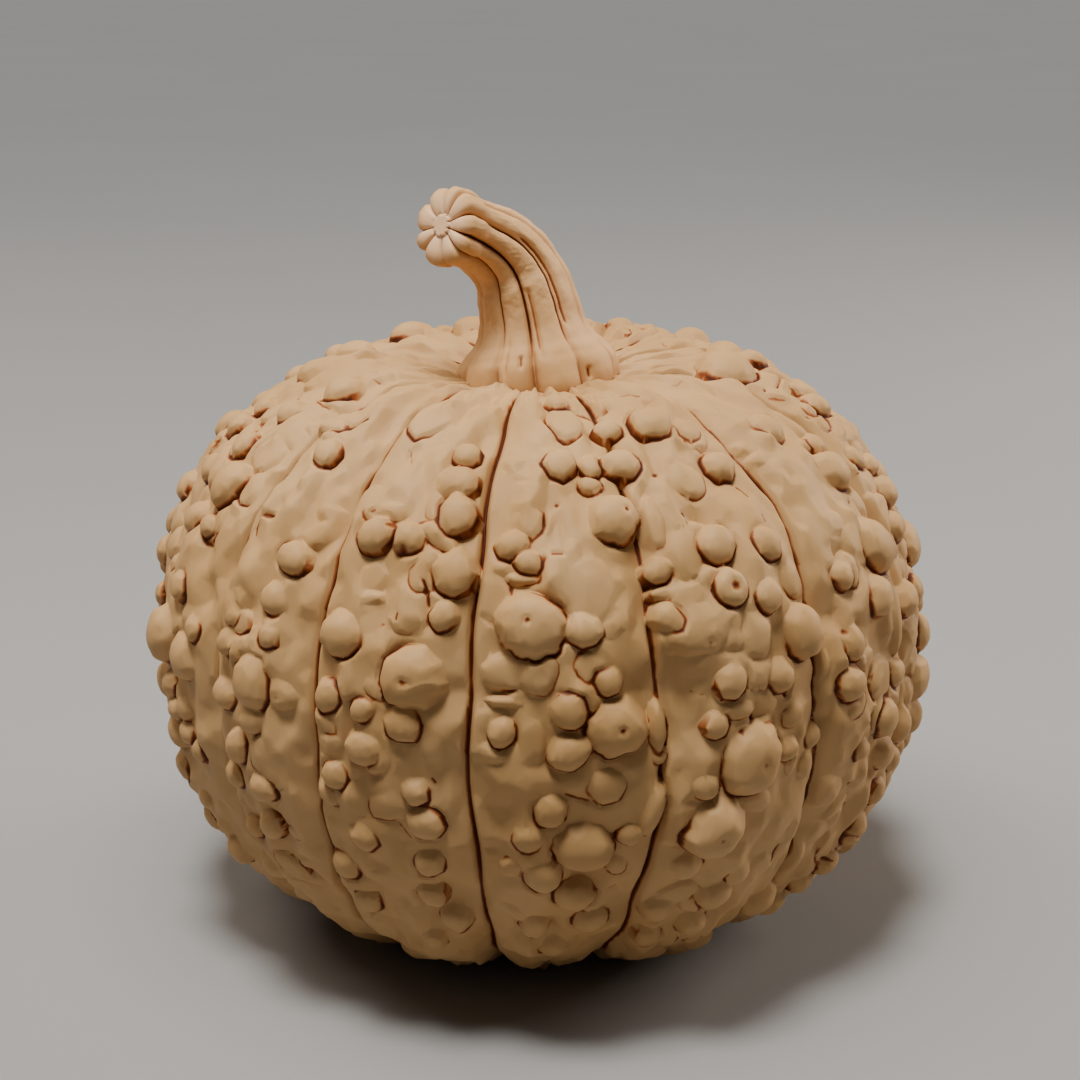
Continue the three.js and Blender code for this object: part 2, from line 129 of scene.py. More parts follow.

# Lower lumps of the front, also read off the photo:
# azimuth, polar angle, radius in mm, how many times wider, and lower by as much, turn in degrees,
# rise as a share of the radius, how dark the painted shade of its outline is
FRONT_LUMPS = [
    [6, 29.5, 6.5, 0.8, 0, 0.32, 0.9], [13.5, 23, 4.4, 1.5, 50, 0.55, 1],
    [33, 34.5, 4.1, 0.9, 0, 0.4, 0.8], [18.5, 51.5, 4.6, 0.6, 0, 0.35, 0.6],
    [-1, 51, 3.7, 0.85, 0, 0.38, 0.9], [-2.2, 60.5, 2.9, 1.6, 0, 0.5, 0.9],
    [-1.6, 57.2, 2.6, 1.7, 0, 0.6, 1], [17.7, 63.8, 2.6, 1.35, 0, 0.6, 0.8],
    [7.2, 62.5, 7.2, 0.85, 0, 0.15, 0.1], [-4.5, 75.5, 5.3, 1.1, 0, 0.36, 0.3],
    [-4.2, 79.8, 2.5, 1.8, 0, 0.55, 0.6], [-5.8, 87.6, 3, 1.3, 20, 0.5, 0.3],
    [0.2, 75.4, 4.9, 0.95, 0, 0.42, 0.7], [-0.8, 85.6, 4.6, 0.75, 0, 0.32, 0.3],
    [-0.5, 91, 5, 1.2, 0, 0.25, 0.2], [16, 89, 2.3, 1, 0, 0.6, 0.8],
    [10.8, 106.5, 3.2, 0.9, 0, 0.5, 0.9], [-3.8, 105.5, 3.2, 0.9, 0, 0.4, 0.6],
    [27, 44.6, 5.6, 0.95, 0, 0.32, 0.8], [22.2, 58, 6, 0.85, 0, 0.36, 0.4],
    [40, 65.6, 5.2, 1.1, 0, 0.4, 0.9], [22, 70.4, 7, 1.15, 0, 0.34, 0.4],
    [30.5, 73, 5, 0.9, 0, 0.38, 0.5], [27, 83.6, 3.6, 1.35, 0, 0.5, 0.8],
    [27.5, 87, 3, 1.1, 0, 0.6, 0.6], [31, 87, 3, 1, 0, 0.6, 0.5], [29.8, 112.4, 4, 1, 0, 0.55, 1],
    [36.2, 86.5, 3.8, 1.1, 0, 0.4, 0.7], [41.2, 91, 3.4, 1, 0, 0.6, 0.9],
    [40.2, 94.8, 4, 0.9, 0, 0.45, 0.6], [42.5, 80, 3.6, 0.8, 0, 0.45, 0.6],
    [64, 40, 5.6, 0.8, 0, 0.38, 0.6], [62.5, 45, 4.4, 1.5, 20, 0.5, 0.9],
    [63.5, 57.5, 4.6, 0.9, 0, 0.45, 0.6], [51.5, 67, 4.2, 0.8, 0, 0.4, 0.8],
    [56, 92, 5, 0.9, 0, 0.4, 0.7], [62, 112, 5.5, 1, 0, 0.4, 0.5], [36.5, 92.5, 3.6, 0.7, 0, 0.4, 0.6],
    [-18, 68.4, 4.2, 1.2, 0, 0.34, 0.6], [-29.8, 85.8, 3.4, 1.4, 30, 0.45, 0.8],
    [-30, 96.4, 3.6, 1.4, 30, 0.5, 0.8], [-26, 79.5, 3.6, 0.75, 0, 0.4, 0.5],
    [-64.8, 22, 5.5, 1.4, -20, 0.42, 0.9], [-50.2, 37, 4.6, 1.9, -10, 0.55, 1],
    [-58, 30.5, 5.2, 1.5, -20, 0.42, 0.8], [-71.5, 46.4, 5.4, 0.75, -40, 0.5, 0.9],
    [-72.5, 52.8, 6, 0.75, -35, 0.55, 0.8], [8.8, 91.8, 5, 1, 0, 0.45, 0.9],
    [15.8, 85, 4.2, 0.62, 0, 0.6, 0.8], [15, 96.4, 4.6, 0.62, 15, 0.6, 0.8],
    [9, 43.8, 3.4, 1, 0, 0.7, 0.9], [-21.5, 89.8, 4, 1, 0, 0.4, 0.6], [62.2, 78.2, 6, 0.5, 0, 0.5, 0.7],
]

# Pits of the front, some of them in the top of a wart: azimuth, polar angle, radius in mm, depth in mm
FRONT_PITS = [
    [3, 47.6, 0.9, 1], [13.8, 49.8, 0.9, 1], [-1.5, 67.3, 1.0, 1], [21.5, 42.6, 1, 1],
    [-3.5, 40.2, 1.3, 0.4], [-3.3, 43, 1.2, 0.4], [-3.5, 46.2, 1.2, 0.45], [-3.5, 49.2, 1.1, 0.45],
    [0.2, 25.6, 1.3, 0.4], [-17.3, 77.5, 1.2, 0.9], [-21.8, 69.4, 0.9, 0.8], [-16.8, 69.2, 1.7, 0.6],
    [10.4, 83.8, 1, 1], [-0.5, 89.8, 0.9, 0.5], [0.2, 75.6, 1.3, 0.5], [27.6, 64.3, 1.8, 1.1],
    [23, 72.4, 1.1, 0.7], [63.8, 38.4, 1, 1], [26.8, 48.2, 1, 0.6], [54, 79.2, 0.9, 0.9],
    [47.5, 76.4, 1.2, 1], [27.2, 86.8, 1, 1], [29.6, 90.8, 1.6, 0.7], [23.9, 101, 1.8, 0.7],
    [35, 83.2, 1, 1], [38.8, 84.4, 0.9, 0.6], [57, 102.4, 1, 0.8], [50.2, 101.6, 0.9, 0.9],
    [53.2, 107.8, 0.9, 0.9], [54.5, 117.8, 1, 1], [-47.5, 55.8, 1.3, 0.9], [-53.2, 46.6, 1.3, 0.5],
    [-23.6, 53.2, 1.2, 0.8], [-20.2, 57, 1.5, 1.3], [-45.8, 53.4, 0.9, 0.7],
]

# Cracks and folds of the front: azimuth, polar angle, length in mm, turn in degrees, depth in mm
FRONT_CRACKS = [
    [27.5, 22.5, 9, 54, 0.8], [2, 53.4, 9, -76, 0.5], [3.9, 53.2, 9, -95, 0.5], [2.7, 56.6, 4, 0, 0.8],
    [0.8, 50.1, 5.5, 90, 0.9], [23.9, 51.3, 4.4, 73, 1], [12.2, 25.8, 6, -135, 0.8],
    [-4.4, 78.1, 7.5, 0, 0.9], [-15.8, 63.5, 9, 72, 1], [-19.5, 67.8, 2.6, 90, 0.9],
    [-26.8, 62.6, 7.8, 83, 0.5], [-20.2, 64.1, 5.2, 69, 0.5], [-14.9, 77, 9.5, -14, 0.5],
    [-14.2, 79.6, 7, -8, 0.3], [-14.6, 74.2, 6, -12, 0.3], [-13.9, 91.9, 2.5, 53, 1],
    [4.9, 93.3, 8.4, 25, 0.9], [-4.4, 103.9, 3, -34, 0.9], [10.5, 111.9, 3.9, -5, 0.7],
    [37, 48.3, 5.7, 74, 0.9], [37.8, 54.1, 3.5, 90, 0.9], [29.9, 53.5, 3.2, 66, 0.6],
    [34.9, 32.5, 3.6, 17, 1], [31.1, 37.5, 3.5, 28, 0.8], [37.2, 111.2, 8.1, -76, 0.9],
    [55, 129.4, 2.5, -38, 1], [57.6, 96.2, 7, 21, 1], [52.2, 119, 5.5, 7, 0.9],
    [21.6, 80.4, 4.8, 17, 0.7], [57, 115, 8, 18, 0.8], [29.1, 85, 3, 80, 1], [-41.5, 34.8, 7.2, -57, 1],
    [-49.9, 64.4, 6.5, -86, 0.8], [-27.2, 50.9, 2.3, 136, 0.8], [-25.2, 39.3, 6.3, 63, 0.7],
    [-41.1, 28.7, 5.2, 20, 0.5], [-66, 25, 8, 11, 1], [-47.5, 55.9, 5.5, -17, 0.9],
]
FRONT_SHARE = 0.2  # kept of the strewn small things on the front, where most are read off the photo

# Warts of the other ribs, strewn by the rule that the source uses
STREWN_WARTS = 150
STREWN_SEED = 20261
FIRST_STREWN_RIB = 5
STREWN_TOP = 24.0
STREWN_BOTTOM = 133.0
RIB_CENTRE = 0.44  # warts keep off the smooth strip left of the next groove
RIB_SPREAD = 0.36
SMALL_WART = 3.8
LARGE_WART = 9.6
CHAIN_SHARE = 0.5  # share of the warts that grow against an earlier one
WART_CROWDING = 0.84  # how much of two radii must stay between two centres
CHAIN_CROWDING = 0.92  # the same for a wart that grows against another
SMALL_WART_BIAS = 3.2  # above 1 makes small warts more common than large ones
GROOVE_ROOM = 0.7  # of a radius, from a wart's centre to the nearest groove
WART_TRIES = 9000

# Shape of a wart
WART_HEIGHT = 0.72  # of its radius
FACET_RINGS = [(9, 70.0), (7, 47.0), (6, 26.0)]  # how many facets, and their tilt in degrees
FLAT_TOP = 0.97  # how high the topmost facet lies, of the wart's full height
CORNER_SOFTNESS = 0.045  # rounds the corners where facets of one ring meet
FACET_SOFTNESS = 0.04  # rounds the edges between the rings
SCALLOPED_FROM = 7.0  # warts of this radius in mm and more have a scalloped edge
SCALLOPED_STRETCH = 1.3  # unless they are stretched as much as this
MOAT_DEPTH = 1.2  # mm, round a wart of 5 mm radius
MOAT_WIDTH = 0.65
# Width of the painted shade outline round a wart's foot, in mm
OUTLINE_WIDTH = 0.65
LOW_RISE = 0.6  # a dome that rises less, as a share of its radius, leaves the grooves free

# How many low blisters, lumps, small warts, pits and cracks are tried between the warts
BLISTERS = 700
LUMPS = 520
SMALL_WARTS = 190
PITS = 150
CRACKS = 200
RIND_SEED = 7
FRONT_CRACK_WIDTH = 0.65

# Stem: its bent middle line, with heights over the middle of the body, and its sections
STEM_LINE = [(1.0, 0.0, 0.62 * BODY_RADIUS), (-3.5, 0.0, 106.3), (-2.1, 14.1, 118.5), (-26.9, -11.7, 128.4)]
STEM_WIDEST = 23.5
# Share of the length, and the radius there as a share of the widest
STEM_GIRTH = [
    (0, 0.89), (0.07, 1), (0.13, 1), (0.18, 0.93), (0.23, 0.78), (0.3, 0.69), (0.38, 0.66), (0.47, 0.63),
    (0.56, 0.59), (0.65, 0.56), (0.74, 0.53), (0.83, 0.49), (0.91, 0.46), (0.97, 0.51), (1, 0.51),
]
# Gaps between the ridges, in degrees round the stem's foot; 270 faces the front
STEM_GAPS = [16, 62, 114, 148, 200, 238, 268, 306, 347]
STEM_RIDGES = len(STEM_GAPS)
STEM_TWIST = 38  # degrees, of the ridges at the cut end
STEM_TWIST_FROM = 0.35  # share of the length below which the ridges run straight
STEM_GAP_DEPTH = 3.2
STEM_GAP_WIDTH = 0.85
# Width of the painted shade in each gap
STEM_GAP_DARK_WIDTH = 0.65
STEM_GAP_DEPTHS = [0.8, 0.65, 0.8, 0.7, 0.6, 0.8, 1.2, 1.0, 0.7]
# Share of the length, and the depth of the gaps there as a share of the deepest
STEM_GAP_SHARES = [(0, 0.6), (0.14, 1), (0.23, 0.85), (0.38, 0.62), (0.74, 0.66), (0.91, 0.85), (1, 0.95)]
# Finer groove of each ridge: where it lies as a share across, from where to where along, how deep
STEM_SPLITS = [0.45, 0.4, 0.6, 0.55, 0.5, 0.3, 0.2, 0.17, 0.2]
STEM_SPLIT_STARTS = [0.2, 0.3, 0.2, 0.3, 0.3, 0.1, 0.16, 0.24, 0.14]
STEM_SPLIT_ENDS = [0.6, 0.7, 0.5, 0.8, 0.6, 0.26, 0.5, 0.82, 0.26]
STEM_SPLIT_DEPTHS = [0.5, 0.3, 0.4, 0.6, 0.35, 0.8, 0.9, 1.0, 0.6]
STEM_SPLIT_WIDTH = 0.75
STEM_SPLIT_DEPTH = 0.4  # of the depth of a gap
STEM_TOE_SWELL = 1.8
STEM_TOES = [0.8, 1.0, 0.7, 0.9, 1.1, 1.0, 1.3, 1.0, 0.9]
STEM_ROUGHNESS = 1.6
STEM_CRACKS = [(259, 0.14, 0.19), (312, 0.08, 0.13)]  # degrees round, from where to where along
STEM_CRACK_WIDTH = 0.6
CUT_DISC = 0.31  # radius of the small disc in the middle of the cut face, as a share of the face's
STEM_RINGS = 230
STEM_POINTS_AROUND = 288
STEM_FACE_SHARE = 0.16  # share of the rings that close the cut end

# Colours: the skin in two tones, the painted shade of a crease, reddish brown at its edge and dark brown in
# its core, and the cut face
# The reddish-brown edge of the painted shade in creases, for the rind and the stem
SHADE_EDGE_COLOUR = (0.28, 0.07, 0.012, 1)
RIND_COLOURS = {
    "light": (0.53, 0.315, 0.132, 1),
    "warm": (0.47, 0.265, 0.10, 1),
    "shade_edge": SHADE_EDGE_COLOUR,
    "dark": (0.06, 0.01, 0.001, 1),
    "cut": (0.53, 0.315, 0.132, 1),
}
STEM_COLOURS = {
    "light": (0.66, 0.39, 0.18, 1),
    "warm": (0.56, 0.31, 0.12, 1),
    "shade_edge": SHADE_EDGE_COLOUR,
    "dark": (0.07, 0.014, 0.002, 1),
    "cut": (0.76, 0.48, 0.27, 1),
}

# Camera, fitted to the photo: distance from the middle of the body, height above it, lens
CAMERA_DISTANCE = 5.5 * BODY_RADIUS
CAMERA_ELEVATION = 19.5
PHOTO_SIZE = 1080
FOCAL_PIXELS = 2016.0
BODY_MIDDLE_IN_PHOTO = (538.5, 624.5)


def radians(degrees):
    return degrees * math.pi / 180


def make_camera():
    elevation = radians(CAMERA_ELEVATION)
    middle = Vector((0, 0, FLAT_SPOT_DROP * MM))
    back = Vector((0, -math.cos(elevation), math.sin(elevation)))
    data = bpy.data.cameras.new("camera")
    data.sensor_width = 36
    data.lens = FOCAL_PIXELS * data.sensor_width / PHOTO_SIZE
    camera = bpy.data.objects.new("camera", data)
    bpy.context.scene.collection.objects.link(camera)
    camera.location = middle + back * CAMERA_DISTANCE * MM
    # The middle of the picture lies a little above the middle of the body
    rise = math.atan((BODY_MIDDLE_IN_PHOTO[1] - PHOTO_SIZE / 2) / FOCAL_PIXELS)
    aside = math.atan((PHOTO_SIZE / 2 - BODY_MIDDLE_IN_PHOTO[0]) / FOCAL_PIXELS)
    camera.rotation_euler = (math.pi / 2 - elevation + rise, 0, -aside)
    bpy.context.scene.camera = camera


make_camera()


# Node trees, written as expressions

class Value:
    """A node's output socket, which Python's operators turn into Math nodes."""

    def __init__(self, nodes, socket):
        self.nodes = nodes
        self.socket = socket

    def __add__(self, other):
        return self.nodes.math("ADD", self, other)

    def __radd__(self, other):
        return self.nodes.math("ADD", other, self)

    def __sub__(self, other):
        return self.nodes.math("SUBTRACT", self, other)

    def __rsub__(self, other):
        return self.nodes.math("SUBTRACT", other, self)

    def __mul__(self, other):
        return self.nodes.math("MULTIPLY", self, other)

    def __rmul__(self, other):
        return self.nodes.math("MULTIPLY", other, self)

    def __truediv__(self, other):
        return self.nodes.math("DIVIDE", self, other)

    def __rtruediv__(self, other):
        return self.nodes.math("DIVIDE", other, self)

    def __pow__(self, other):
        return self.nodes.math("POWER", self, other)


class Nodes:
    """Makes the nodes of one tree."""

    def __init__(self, tree):
        self.tree = tree

    def add(self, kind, settings=None, inputs=None, output=0):
        node = self.tree.nodes.new(kind)
        for name, value in (settings or {}).items():
            if name in ("curve", "steps"):
                self.set_curve(node, value, straight=name == "steps")
            else:
                setattr(node, name, value)
        for key, value in (inputs or {}).items():
            if isinstance(value, Value):
                self.tree.links.new(value.socket, node.inputs[key])
            else:
                node.inputs[key].default_value = value
        return Value(self, node.outputs[output])

    @staticmethod
    def set_curve(node, places, straight):
        points = node.mapping.curves[0].points
        while len(points) < len(places):
            points.new(0.5, 0.5)
        for point, place in zip(points, places):
            point.location = place
            point.handle_type = "VECTOR" if straight else "AUTO_CLAMPED"
        node.mapping.update()

    def math(self, operation, *values):
        return self.add("ShaderNodeMath", {"operation": operation}, dict(enumerate(values)))

    def mix(self, factor, first, second):
        """Mixes two colours."""
        inputs = {0: factor, 6: first, 7: second}
        return self.add("ShaderNodeMix", {"data_type": "RGBA"}, inputs, output=2)

    def between(self, value, low, high):
        """0 below low, 1 above high and smooth between them."""
        settings = {"interpolation_type": "SMOOTHSTEP", "clamp": True}
        inputs = {"Value": value, "From Min": low, "From Max": high}
        return self.add("ShaderNodeMapRange", settings, inputs)

    def bell(self, distance, width):
        """1 where the distance is 0, and falling off to both sides."""
        return self.math("EXPONENT", (distance / width) ** 2 * -1.0)

    def curve(self, value, places):
        return self.add("ShaderNodeFloatCurve", {"curve": places}, {"Value": value})

    def choice(self, number, values):
        """The value, up to 2, that belongs to a whole number counted from 0."""
        steps = [(place / len(values), value / 2) for place, value in enumerate(values)]
        return self.add("ShaderNodeFloatCurve", {"steps": steps}, {"Value": number / len(values)}) * 2

    def vector(self, x, y, z):
        return self.add("ShaderNodeCombineXYZ", None, {"X": x, "Y": y, "Z": z})

    def vector_math(self, operation, *values):
        return self.add("ShaderNodeVectorMath", {"operation": operation}, dict(enumerate(values)))

    def vector_mix(self, factor, first, second):
        inputs = {0: factor, 4: first, 5: second}
        return self.add("ShaderNodeMix", {"data_type": "VECTOR"}, inputs, output=1)

    def noise(self, position, scale, detail, roughness=0.5):
        inputs = {"Vector": position, "Scale": scale, "Detail": detail, "Roughness": roughness}
        return self.add("ShaderNodeTexNoise", None, inputs)


# Shape of the rind

def body_profile(polar):
    """Distance from the axis and height over the middle of the body."""
    sine = np.sin(np.radians(polar))
    cosine = np.cos(np.radians(polar))
    radius = BODY_RADIUS * np.abs(sine) ** SIDE_FULLNESS
    height = BODY_HALF_HEIGHT * np.sign(cosine) * np.abs(cosine) ** CROWN_FULLNESS
    hollow = STEM_HOLLOW_DEPTH * np.exp(-((radius / STEM_HOLLOW_WIDTH) ** 2))
    return radius, height - hollow * (cosine > 0)


def groove_azimuths():
    first, last = FRONT_GROOVES[0] + 360, FRONT_GROOVES[-1]
    back = [last + (first - last) * rib / BACK_RIBS for rib in range(1, BACK_RIBS + 1)]
    return FRONT_GROOVES + back


def skin_place(azimuth, polar):
    """A place on the plain skin as the source works it out, for the spacing of the warts."""
    radius, height = body_profile(polar)
    angle = np.radians(azimuth)
    return np.array([radius * np.sin(angle), -radius * np.cos(angle), height])


def seeded_numbers(seed):
    """Numbers from 0 to 1, the same as in the source."""
    modulus = 2**31 - 1
    state = seed
    while True:
        state = (state * 16807) % modulus
        yield state / modulus


def free_place(draw, grooves):
    ribs = len(grooves) - 1 - FIRST_STREWN_RIB
    rib = FIRST_STREWN_RIB + int(next(draw) * ribs)
    over = RIB_CENTRE + RIB_SPREAD * (next(draw) + next(draw) - 1)
    azimuth = grooves[rib] + over * (grooves[rib + 1] - grooves[rib])
    return azimuth, STREWN_TOP + (STREWN_BOTTOM - STREWN_TOP) * next(draw)


def chain_place(draw, wart, new_radius):
    """A place that touches an earlier wart, mostly above or below it."""
    azimuth, polar, radius = wart
    reach = CHAIN_CROWDING * (radius + new_radius)
    lean = 0.9 * (next(draw) + next(draw) - 1)
    down = -1 if next(draw) < 0.5 else 1
    per_degree = radians(1) * BODY_RADIUS
    ring_share = body_profile(polar)[0] / BODY_RADIUS
    east = reach * math.sin(lean) / (per_degree * ring_share)
    return azimuth + east, polar + down * reach * math.cos(lean) / per_degree


def all_warts():
    draw = seeded_numbers(STREWN_SEED)
    grooves = groove_azimuths()
    warts = [list(wart) for wart in FRONT_WARTS]
    places = [skin_place(azimuth, polar) for azimuth, polar, _ in warts]
    listed = len(FRONT_WARTS)
    for _ in range(WART_TRIES):
        if len(warts) == listed + STREWN_WARTS:
            break
        radius = SMALL_WART + (LARGE_WART - SMALL_WART) * next(draw) ** SMALL_WART_BIAS
        strewn = len(warts) - listed
        if strewn > 0 and next(draw) < CHAIN_SHARE:
            azimuth, polar = chain_place(draw, warts[listed + int(next(draw) * strewn)], radius)
        else:
            azimuth, polar = free_place(draw, grooves)
        if not STREWN_TOP < polar < STREWN_BOTTOM:
            continue
        place = skin_place(azimuth, polar)
        groove_places = skin_place(np.array(grooves), np.full(len(grooves), polar)).T
        if np.linalg.norm(groove_places - place, axis=1).min() <= GROOVE_ROOM * radius:
            continue
        room = np.linalg.norm(np.array(places) - place, axis=1)
        if (room > WART_CROWDING * (np.array(warts)[:, 2] + radius)).all():
            warts.append([azimuth, polar, radius])
            places.append(place)
    return warts


def bell(distance, width):
    """1 where the distance is 0, and falling off to both sides."""
    return np.exp(-((distance / width) ** 2))


def smooth_max(first, second, softness):
    return softness * np.logaddexp(first / softness, second / softness)


def eased(share):
    """A share from 0 to 1 that starts and ends level."""
    return share * share * (3 - 2 * share)


def faceted_dome(u, v, radius, wide, bend, rng):
    """A dome's height, at most 1, and a rim that is 1 along its foot; u and v are 1 at the foot."""
    dome = FLAT_TOP - math.tan(radians(rng.uniform(0, 14))) * (u * bend[0] + v * bend[1]) * 10
    edge = None
    for count, tilt in FACET_RINGS:
        count += int(rng.integers(-1, 2))
        first = rng.uniform(0, 2 * math.pi)
        tilt = radians(tilt + rng.uniform(-3, 3))
        rim = np.zeros_like(u)
        for side in range(count):
            angle = first + 2 * math.pi * (side + rng.uniform(-0.22, 0.22)) / count
            toward = u * math.cos(angle) + v * math.sin(angle)
            across = toward * rng.uniform(0.93, 1.05) * math.sin(tilt)
            rim += np.exp(across / CORNER_SOFTNESS)
        rim = CORNER_SOFTNESS * np.log(rim)
        if radius > SCALLOPED_FROM and wide < SCALLOPED_STRETCH:
            around = np.arctan2(v, u + 1e-9)
            lobe = 0.5 * (count + 1) * around + 0.8 * np.sin(around + 3 * first) + first
            rim = rim * (1.03 - 0.04 * (1 + np.sin(around - first)) * np.abs(np.sin(lobe)))
        edge = rim if edge is None else edge
        dome = -smooth_max(-dome, (rim - 1) / math.cos(tilt), FACET_SOFTNESS)
    return dome, edge


class Rind:
    """The skin as a grid of heights over the plain body, with a map of the painted shade in its creases."""

    def __init__(self):
        fine = np.linspace(0, FLAT_SPOT_POLAR, 4000)
        radius, height = body_profile(fine)
        steps = np.hypot(np.diff(radius), np.diff(height))
        along = np.concatenate([[0], np.cumsum(steps)])
        self.length = np.linspace(0, along[-1], RIND_ROWS)  # down the skin from the top
        self.polar = np.interp(self.length, along, fine)
        self.radius, self.level = body_profile(self.polar)
        self.azimuth = np.linspace(-180, 180, RIND_COLUMNS, endpoint=False)
        self.height = np.zeros((RIND_ROWS, RIND_COLUMNS))
        self.crease = np.zeros((RIND_ROWS, RIND_COLUMNS))
        self.groove_zone = np.zeros((RIND_ROWS, RIND_COLUMNS))

    def window(self, azimuth, polar, reach):
        """The grid within reach of a place: rows, columns, and distances east and down in mm."""
        middle = np.interp(polar, self.polar, self.length)
        rows = np.nonzero(np.abs(self.length - middle) < reach)[0]
        ring = np.interp(polar, self.polar, self.radius)
        offset = (self.azimuth - azimuth + 180) % 360 - 180
        columns = np.nonzero(np.abs(np.radians(offset)) * ring < reach)[0]
        east = np.radians(offset[columns])[None, :] * self.radius[rows][:, None]
        down = (self.length[rows] - middle)[:, None] + np.zeros((1, len(columns)))
        return np.ix_(rows, columns), east, down

    def noise(self, rng, size, stretch):
        """Smooth random heights, about -1 to 1, with bumps of one size in mm."""
        rows = max(4, int(self.length[-1] / (size * stretch)))
        columns = max(4, int(2 * math.pi * BODY_RADIUS / size))
        coarse = rng.standard_normal((rows + 3, columns))
        row = self.length / self.length[-1] * rows
        column = np.arange(RIND_COLUMNS) / RIND_COLUMNS * columns
        above = row.astype(int)
        left = column.astype(int)
        down = eased(row - above)[:, None]
        across = eased(column - left)[None, :]
        near, far = left % columns, (left + 1) % columns
        top = coarse[above][:, near] * (1 - across) + coarse[above][:, far] * across
        bottom = coarse[above + 1][:, near] * (1 - across) + coarse[above + 1][:, far] * across
        return (top * (1 - down) + bottom * down) * np.clip(self.radius / 30, 0, 1)[:, None]

    def groove_line(self, azimuth):
        """The azimuth of a groove at each row of the grid."""
        places = GROOVE_BENDS.get(azimuth, [(90, 0)])
        bend = np.interp(self.polar, [polar for polar, _ in places], [degrees for _, degrees in places])
        wander = GROOVE_WANDER * np.sin(self.polar / 5.3 + azimuth) * np.sin(self.polar / 13 + azimuth)
        return azimuth + bend + wander

    def add_ribs(self):
        ring = self.radius[:, None]
        fade = np.clip(ring / BODY_RADIUS * 1.6, 0, 1)
        lines = [self.groove_line(azimuth)[:, None] for azimuth in groove_azimuths()]
        lines[-1] = lines[0] + 360
        for left, right in zip(lines[:-1], lines[1:]):
            over = ((self.azimuth[None, :] - left) % 360) / (right - left)
            inside = over < 1
            over = np.minimum(over, 1)
            reach = np.radians(right - left) * ring  # mm across the rib
            from_left = over * reach
            from_right = (1 - over) * reach
            swell = RIB_SWELL * np.sin(np.pi * over) ** 0.7
            lip = LIP_DEPTH * np.exp(-((from_right / LIP_WIDTH) ** 1.6))
            lip = lip + EDGE_DEPTH * np.exp(-((from_left / EDGE_WIDTH) ** 1.6))
            cut = bell(from_left, 0.8 * GROOVE_WIDTH) + bell(from_right, GROOVE_WIDTH)
            height = (swell - lip - GROOVE_DEPTH * np.minimum(cut, 1)) * fade
            zone = bell(from_left, GROOVE_FREE_REACH[0]) + bell(from_right, GROOVE_FREE_REACH[1])
            # Painted shade: dark in the groove, with a warm tint beside it
            dark = bell(from_left, GROOVE_SHADE_REACH[0]) + bell(from_right, GROOVE_SHADE_REACH[1])
            shade_tint = GROOVE_SHADE_TINT[0] * np.exp(-from_left / GROOVE_SHADE_TINT_REACH[0])
            shade_tint = shade_tint + GROOVE_SHADE_TINT[1] * np.exp(-from_right / GROOVE_SHADE_TINT_REACH[1])
            crease = np.minimum(np.maximum(dark, shade_tint), 1) * np.clip(ring / 25, 0, 1)
            self.height[inside] = height[inside]
            self.groove_zone[inside] = np.minimum(zone, 1)[inside]
            self.crease[inside] = crease[inside]

    def add_ripples(self, rng):
        ripples = sum(height * self.noise(rng, size, stretch) for size, stretch, height in RIPPLES)
        self.height += ripples * (1 - self.crease)

    def add_dome(self, azimuth, polar, radius, rng, rise=WART_HEIGHT, outline=1.0, wide=1.0, turn=None):
        """Raises one faceted dome, with a moat round its lower side, painted dark there as shade."""
        area, east, down = self.window(azimuth, polar, 1.6 * radius * max(wide, 1 / wide) + 2)
        lean = rng.uniform(-0.5, 0.5) if turn is None else radians(turn)
        foot = radius * math.sin(radians(FACET_RINGS[0][1]))
        # u and v are 1 at the foot
        u = (east * math.cos(lean) + down * math.sin(lean)) / foot / wide
        v = (down * math.cos(lean) - east * math.sin(lean)) / foot * wide
        bend = rng.uniform(-0.07, 0.07, 2)
        u, v = u + bend[0] * np.sin(2.6 * v + 9 * bend[1]), v + bend[1] * np.sin(2.6 * u + 9 * bend[0])
        dome, edge = faceted_dome(u, v, radius, wide, bend, rng)
        dome = dome * radius * rise * rng.uniform(0.88, 1.08)
        skin = self.height[area]
        crease = self.crease[area]
        # 0 on the wart's upper side, 1 on its lower side, where the moat is deeper and the painted shade
        # darker
        toward = np.arctan2(v, u) - rng.normal(math.pi / 2, 0.6)
        lower = 0.5 + 0.5 * np.cos(toward)
        strength = np.clip(rng.uniform(-0.1, 0.6) + 1.15 * lower, 0, 1) * outline
        beyond = (edge - 1.0) * radius  # mm out from the dome's foot
        moat = bell(beyond, MOAT_WIDTH) * strength
        base = np.median(skin)
        skin = skin - MOAT_DEPTH * min(1.3, radius / 5) * moat
        dome = dome + base - 0.25 - 3 * np.maximum(beyond, 0)
        softness = 0.15 + 0.8 * (1 - strength) * min(1.4, radius / 5)
        raised = smooth_max(skin, dome, softness)
        covered = 1 / (1 + np.exp(-np.clip((dome - skin) / 0.25, -30, 30)))
        # Painted shade: a dark outline round the dome's foot, darkest on its lower side
        line = bell(beyond, OUTLINE_WIDTH) * strength
        drawn = np.maximum(crease * (1 - covered), line)
        # A low dome leaves the grooves free
        free = self.groove_zone[area] if rise < LOW_RISE else 0
        self.height[area] = raised + (self.height[area] - raised) * free
        self.crease[area] = drawn + (crease - drawn) * free

    def add_pit(self, azimuth, polar, size, depth):
        area, east, down = self.window(azimuth, polar, 4 * size)
        hole = np.exp(-((east**2 + down**2) / size**2))
        self.height[area] -= depth * hole
        # Painted shade in the pit
        self.crease[area] = np.maximum(self.crease[area], hole * min(1, depth))

